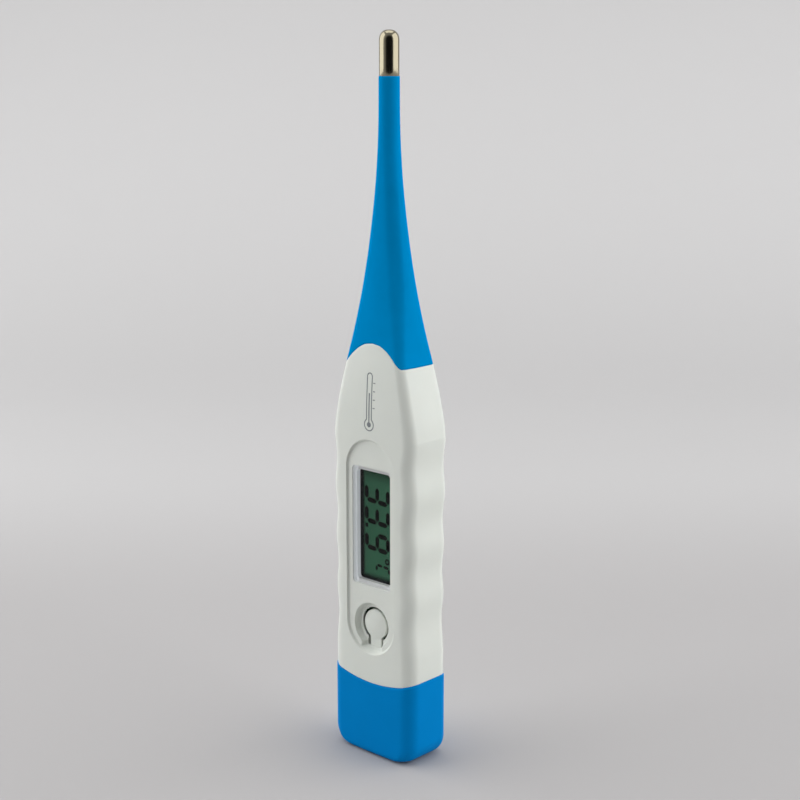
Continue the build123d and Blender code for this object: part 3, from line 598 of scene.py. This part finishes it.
def material(name, base, rough=0.35, metal=0.0, spec=0.5, vary=0.05, scale=260.0, rough_vary=0.08, bump=0.0, bump_scale=2500.0,
             stretch=(1, 1, 1), trans=0.0, ior=1.46, coat=0.0, sss=0.0, sheen=0.0):
    m = bpy.data.materials.new(name); m.use_nodes = True
    nt = m.node_tree; N, L = nt.nodes, nt.links
    bs = N["Principled BSDF"]
    bs.inputs["Metallic"].default_value = metal
    bs.inputs["IOR"].default_value = ior
    bs.inputs["Specular IOR Level"].default_value = spec
    bs.inputs["Transmission Weight"].default_value = trans
    bs.inputs["Coat Weight"].default_value = coat
    bs.inputs["Coat Roughness"].default_value = 0.12
    bs.inputs["Sheen Weight"].default_value = sheen
    bs.inputs["Subsurface Weight"].default_value = sss
    bs.inputs["Subsurface Radius"].default_value = (0.0012, 0.0010, 0.0008)
    bs.inputs["Subsurface Scale"].default_value = 0.6
    tc = N.new("ShaderNodeTexCoord"); mp = N.new("ShaderNodeMapping")
    mp.inputs["Scale"].default_value = stretch
    L.new(tc.outputs["Object"], mp.inputs["Vector"])
    n1 = N.new("ShaderNodeTexNoise"); n1.inputs["Scale"].default_value = scale; n1.inputs["Detail"].default_value = 5
    L.new(mp.outputs["Vector"], n1.inputs["Vector"])
    ramp = N.new("ShaderNodeValToRGB")
    ramp.color_ramp.elements[0].position = 0.3; ramp.color_ramp.elements[1].position = 0.7
    ramp.color_ramp.elements[0].color = tuple(c * (1 - vary) for c in base[:3]) + (1,)
    ramp.color_ramp.elements[1].color = tuple(min(1, c * (1 + vary)) for c in base[:3]) + (1,)
    L.new(n1.outputs["Fac"], ramp.inputs["Fac"]); L.new(ramp.outputs["Color"], bs.inputs["Base Color"])
    bs.inputs["Diffuse Roughness"].default_value = 0.0
    n2 = N.new("ShaderNodeTexNoise"); n2.inputs["Scale"].default_value = scale * 3.1; n2.inputs["Detail"].default_value = 6
    L.new(mp.outputs["Vector"], n2.inputs["Vector"])
    mr = N.new("ShaderNodeMapRange"); mr.inputs["To Min"].default_value = max(rough - rough_vary, 0.02); mr.inputs["To Max"].default_value = rough + rough_vary
    L.new(n2.outputs["Fac"], mr.inputs["Value"]); L.new(mr.outputs["Result"], bs.inputs["Roughness"])
    if bump:
        n3 = N.new("ShaderNodeTexNoise"); n3.inputs["Scale"].default_value = bump_scale; n3.inputs["Detail"].default_value = 3
        L.new(mp.outputs["Vector"], n3.inputs["Vector"])
        bp = N.new("ShaderNodeBump"); bp.inputs["Strength"].default_value = bump; bp.inputs["Distance"].default_value = 0.00003
        L.new(n3.outputs["Fac"], bp.inputs["Height"]); L.new(bp.outputs["Normal"], bs.inputs["Normal"])
    return m


def clear_to_lamps(m):
    """Rays from lamps pass straight through a clear piece, so that what is behind it is lit."""
    nt = m.node_tree; out = nt.nodes["Material Output"]; bs = nt.nodes["Principled BSDF"]
    lp = nt.nodes.new("ShaderNodeLightPath"); tr = nt.nodes.new("ShaderNodeBsdfTransparent"); mix = nt.nodes.new("ShaderNodeMixShader")
    nt.links.new(lp.outputs["Is Shadow Ray"], mix.inputs["Fac"])
    nt.links.new(bs.outputs["BSDF"], mix.inputs[1]); nt.links.new(tr.outputs["BSDF"], mix.inputs[2])
    nt.links.new(mix.outputs["Shader"], out.inputs["Surface"])


def put(obj, mat):
    obj.data.materials.clear(); obj.data.materials.append(mat)


WHITE = material("white_abs", lin(229, 233, 226), rough=0.38, spec=0.28, vary=0.012, scale=180, bump=0.10, bump_scale=4200, sss=0.06)
KEYM = material("white_key", lin(230, 234, 227), rough=0.42, spec=0.28, vary=0.014, scale=300, bump=0.35, bump_scale=6500, sss=0.05)
BLUE = material("blue_soft", lin(0, 141, 207), rough=0.6, spec=0.0, vary=0.03, scale=210, bump=0.14, bump_scale=5200)
BLUEC = material("blue_moulded", lin(0, 134, 208), rough=0.45, spec=0.015, vary=0.02, scale=170, bump=0.06, bump_scale=3800)
STEEL = material("tip_steel", lin(154, 147, 126), rough=0.16, metal=1.0, vary=0.03, scale=900, rough_vary=0.05, bump=0.08, bump_scale=3200, stretch=(1, 1, 0.12))
LENS = material("clear_acrylic", (0.985, 0.98, 1.0, 1), rough=0.02, rough_vary=0.008, vary=0.004, scale=90, trans=1.0, ior=1.32, spec=0.12)
GLASS = material("display_glass", (0.95, 0.97, 0.96, 1), rough=0.05, rough_vary=0.02, vary=0.01, scale=120, trans=1.0, ior=1.5, spec=0.12)
LCD = material("display_ground_painted_shadow", lin(54, 102, 76), rough=0.6, spec=0.02, vary=0.05, scale=160, bump=0.10, bump_scale=7000)
INK = material("display_ink", lin(1, 2, 2), rough=0.7, spec=0.0, vary=0.10, scale=400)
PRINT = material("printed_ink", lin(120, 126, 130), rough=0.5, vary=0.06, scale=900, bump=0.1)
BLACK = material("black_rubber", lin(26, 26, 28), rough=0.6, vary=0.12, scale=500, bump=0.3)
FR4 = material("board_mask", lin(18, 84, 46), rough=0.35, vary=0.08, scale=420, bump=0.25, coat=0.3)
EPOXY = material("black_epoxy", lin(14, 14, 15), rough=0.22, vary=0.15, scale=300, bump=0.15)
SMD = material("smd_ceramic", lin(150, 128, 98), rough=0.5, vary=0.10, scale=900)
DARK = material("black_switch", lin(22, 22, 22), rough=0.45, vary=0.12, scale=600, bump=0.2)
BRASS = material("brass_sheet", lin(196, 160, 92), rough=0.28, metal=1.0, vary=0.05, scale=500, stretch=(1, 1, 0.2))
PIEZO = material("piezo_ceramic", lin(212, 206, 190), rough=0.4, vary=0.04, scale=700)
COPPER = material("copper_enamel", lin(176, 92, 44), rough=0.3, metal=1.0, vary=0.06, scale=900, coat=0.4)
NATURAL = material("natural_plastic", lin(206, 206, 198), rough=0.45, vary=0.03, scale=240, bump=0.2)
NICKEL = material("nickel_plate", lin(190, 190, 188), rough=0.25, metal=1.0, vary=0.03, scale=800, stretch=(1, 1, 0.3))
POT = material("potting_compound", lin(190, 188, 180), rough=0.55, vary=0.06, scale=500)

clear_to_lamps(LENS); clear_to_lamps(GLASS)
for m in (LENS, GLASS):
    m.node_tree.nodes["Principled BSDF"].inputs["Specular Tint"].default_value = (0.06, 0.06, 0.06, 1)     # anti-glare
for o, m in ((shell, WHITE), (spigot, WHITE), (cap, BLUEC), (neck_a, BLUE), (neck_b, BLUE), (tip, STEEL), (key, KEYM), (stem, KEYM),
             (figures, INK), (pict, PRINT)):
    put(o, m)
for nm in ("sensor_leads_lower", "sensor_leads_upper"):
    put(bpy.data.objects[nm], COPPER)
by_node = {"lens": LENS, "lcd_front_polariser": LCD, "lcd_front_glass": GLASS, "lcd_rear_glass": GLASS, "lcd_reflector": LCD,
           "zebra_connector": BLACK, "cap_seal_ring": BLACK, "circuit_board": FR4, "chip_epoxy_blob": EPOXY, "smd_components": SMD,
           "switch_body": DARK, "switch_plunger": DARK, "buzzer_disc": BRASS, "buzzer_element": PIEZO, "buzzer_leads": COPPER,
           "carrier_frame": NATURAL, "button_cell": NICKEL, "contact_negative": NICKEL, "contact_positive": NICKEL,
           "tip_potting": POT, "thermistor_bead": EPOXY}
for nm, m in by_node.items():
    put(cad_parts[nm], m)

# painted shadow: the display's ground is darkened towards its edges, most at the left and the bottom, standing in for
# the shade the window's walls cast on it
nt = LCD.node_tree; bs = nt.nodes["Principled BSDF"]
src = bs.inputs["Base Color"].links[0].from_socket
tcn = nt.nodes.new("ShaderNodeTexCoord"); sx = nt.nodes.new("ShaderNodeSeparateXYZ"); nt.links.new(tcn.outputs["Object"], sx.inputs[0])


def fade(sock, at0, at1, top):
    """Nought at at0, rising smoothly to top at at1."""
    c = nt.nodes.new("ShaderNodeMapRange"); c.interpolation_type = "SMOOTHSTEP"
    lo_, hi_, v0, v1 = (at0, at1, 0.0, top) if at0 < at1 else (at1, at0, top, 0.0)
    for k_, v_ in (("From Min", lo_), ("From Max", hi_), ("To Min", v0), ("To Max", v1)):
        c.inputs[k_].default_value = v_
    nt.links.new(sock, c.inputs["Value"]); return c.outputs["Result"]


def either(a_, b_):
    m_ = nt.nodes.new("ShaderNodeMath"); m_.operation = "MAXIMUM"
    nt.links.new(a_, m_.inputs[0]); nt.links.new(b_, m_.inputs[1]); return m_.outputs[0]


painted_edge_shadow = either(either(fade(sx.outputs["X"], -0.00290, -0.00375, 1.0), fade(sx.outputs["X"], 0.00380, 0.00430, 0.5)),
            either(fade(sx.outputs["Z"], 0.03720, 0.03580, 1.0), fade(sx.outputs["Z"], 0.05480, 0.05760, 0.6)))
mix = nt.nodes.new("ShaderNodeMix"); mix.data_type = "RGBA"; nt.links.new(painted_edge_shadow, mix.inputs["Factor"])
# painted shadow: the near-black colour the display's edges fade to
nt.links.new(src, mix.inputs["A"]); mix.inputs["B"].default_value = lin(6, 12, 14)
nt.links.new(mix.outputs["Result"], bs.inputs["Base Color"])

# painted light: the white walls under the lens glow by emission, most on the display's left, standing in for the light
# that the clear lens gathers at its edge
LEDGE_PAINTED_GLOW = material("white_under_lens_painted_glow", lin(226, 229, 226), rough=0.5, spec=0.1, vary=0.01, scale=220)
lt = LEDGE_PAINTED_GLOW.node_tree; lb = lt.nodes["Principled BSDF"]; nt = lt
ltc = lt.nodes.new("ShaderNodeTexCoord"); lx = lt.nodes.new("ShaderNodeSeparateXYZ"); lt.links.new(ltc.outputs["Object"], lx.inputs[0])
painted_glow = lt.nodes.new("ShaderNodeMath"); painted_glow.operation = "MULTIPLY"
lt.links.new(fade(lx.outputs["X"], -0.00380, -0.00425, 0.27), painted_glow.inputs[0]); lt.links.new(fade(lx.outputs["Y"], -0.00520, -0.00490, 1.0), painted_glow.inputs[1])
lt.links.new(painted_glow.outputs[0], lb.inputs["Emission Strength"]); lb.inputs["Emission Color"].default_value = (0.90, 0.96, 1.0, 1)
shell.data.materials.append(LEDGE_PAINTED_GLOW)
# the faces of the window recess take the painted glow
for p in shell.data.polygons:
    c = p.center
    if -0.00535 < c.y < -0.0033 and abs(c.x) < 0.00499 and 0.0348 < c.z < 0.0584:
        p.material_index = 1

# ------------------------------------------------------------------ floor, backdrop, lights and camera
fm = material("studio_paper_painted_shade", lin(180, 178, 178), rough=0.8, vary=0.006, scale=6, spec=0.10)
bm = bmesh.new()
phi = math.radians(43.182)
fwd = Vector((-math.sin(phi), math.cos(phi), 0)); right = Vector((math.cos(phi), math.sin(phi), 0))
prof_ = [(-0.34, 0.0)] + [(0.35 + 0.25 * math.sin(q), 0.25 - 0.25 * math.cos(q)) for q in np.linspace(0, math.pi / 2, 24)] + [(0.60, 1.4)]
cols_ = []
for d, h in prof_:
    cols_.append([bm.verts.new(fwd * d + right * s + Vector((0, 0, h))) for s in (-1.4, 1.4)])
for a_, b_ in zip(cols_, cols_[1:]):
    bm.faces.new((a_[0], a_[1], b_[1], b_[0]))
# the paper is paler towards the wall
# painted shade: the paper's colour is darker at the front and paler towards the wall, standing in for how the lamps
# light the sweep
ft = fm.node_tree; fb = ft.nodes["Principled BSDF"]; fsrc = fb.inputs["Base Color"].links[0].from_socket
ftc = ft.nodes.new("ShaderNodeTexCoord"); fdot = ft.nodes.new("ShaderNodeVectorMath"); fdot.operation = "DOT_PRODUCT"
fdot.inputs[1].default_value = (fwd.x, fwd.y, 0.0); ft.links.new(ftc.outputs["Object"], fdot.inputs[0])
# painted shade tones, paler with distance towards the wall
for near_, far_, painted_shade_tone in ((0.07, 0.22, lin(195, 194, 194)), (0.38, 0.60, lin(212, 211, 211))):
    fmr = ft.nodes.new("ShaderNodeMapRange"); fmr.interpolation_type = "SMOOTHSTEP"
    fmr.inputs["From Min"].default_value = near_; fmr.inputs["From Max"].default_value = far_
    ft.links.new(fdot.outputs["Value"], fmr.inputs["Value"])
    fmx = ft.nodes.new("ShaderNodeMix"); fmx.data_type = "RGBA"; ft.links.new(fmr.outputs["Result"], fmx.inputs["Factor"])
    ft.links.new(fsrc, fmx.inputs["A"]); fmx.inputs["B"].default_value = painted_shade_tone; fsrc = fmx.outputs["Result"]
ft.links.new(fsrc, fb.inputs["Base Color"])
bmesh.ops.recalc_face_normals(bm, faces=bm.faces)
me = bpy.data.meshes.new("studio_sweep"); bm.to_mesh(me); bm.free()
for p in me.polygons:
    p.use_smooth = True
sweep_o = bpy.data.objects.new("studio_sweep", me); bpy.context.scene.collection.objects.link(sweep_o); put(sweep_o, fm)


def area(name, loc, size, power, target=(0, 0, 0.07), color=(1, 1, 1)):
    l = bpy.data.lights.new(name, "AREA"); l.shape = "RECTANGLE"; l.size, l.size_y = size; l.energy = power; l.color = color
    o = bpy.data.objects.new(name, l); bpy.context.scene.collection.objects.link(o)
    o.location = loc; o.rotation_mode = "QUATERNION"
    o.rotation_quaternion = (Vector(target) - Vector(loc)).to_track_quat("-Z", "Y")
    return o


area("light_left", -right * 0.50 + fwd * 0.09 + Vector((0, 0, 0.22)), (0.66, 0.84), 3.3)
area("light_right", right * 0.60 - fwd * 0.07 + Vector((0, 0, 0.24)), (0.92, 0.96), 4.9)
area("light_top", fwd * 0.25 + Vector((0, 0, 1.10)), (1.0, 1.0), 5.0, target=(0, 0, 0))
w = bpy.data.worlds.new("world"); bpy.context.scene.world = w; w.use_nodes = True
bg = w.node_tree.nodes["Background"]; bg.inputs[0].default_value = (0.94, 0.95, 0.96, 1)
# the room is darker behind the viewer
wt = w.node_tree; gen = wt.nodes.new("ShaderNodeTexCoord"); dot = wt.nodes.new("ShaderNodeVectorMath"); dot.operation = "DOT_PRODUCT"
dot.inputs[1].default_value = (-fwd.x, -fwd.y, 0.0); wt.links.new(gen.outputs["Generated"], dot.inputs[0])
mr = wt.nodes.new("ShaderNodeMapRange"); mr.interpolation_type = "SMOOTHSTEP"
for k_, v_ in (("From Min", 0.58), ("From Max", 0.88), ("To Min", 0.46), ("To Max", 0.015)):
    mr.inputs[k_].default_value = v_
wt.links.new(dot.outputs["Value"], mr.inputs["Value"]); wt.links.new(mr.outputs["Result"], bg.inputs["Strength"])

cam = bpy.data.cameras.new("camera"); co = bpy.data.objects.new("camera", cam); bpy.context.scene.collection.objects.link(co)
cam.sensor_width = 36.0; cam.lens = 68.70; cam.clip_start, cam.clip_end = 0.01, 20
d0, pan, el = 0.286052, math.radians(0.395), math.radians(11.969)
co.location = (d0 * math.sin(phi), -d0 * math.cos(phi), 0.131632)
# heading: towards the axis, turned by the small pan, then tilted down
hx = -math.sin(phi) * math.cos(pan) + math.cos(phi) * math.sin(pan)
hy = math.cos(phi) * math.cos(pan) + math.sin(phi) * math.sin(pan)
direction = Vector((hx * math.cos(el), hy * math.cos(el), -math.sin(el)))
co.rotation_mode = "QUATERNION"; co.rotation_quaternion = direction.to_track_quat("-Z", "Y")
bpy.context.scene.camera = co
bpy.context.scene.view_settings.view_transform = "Standard"
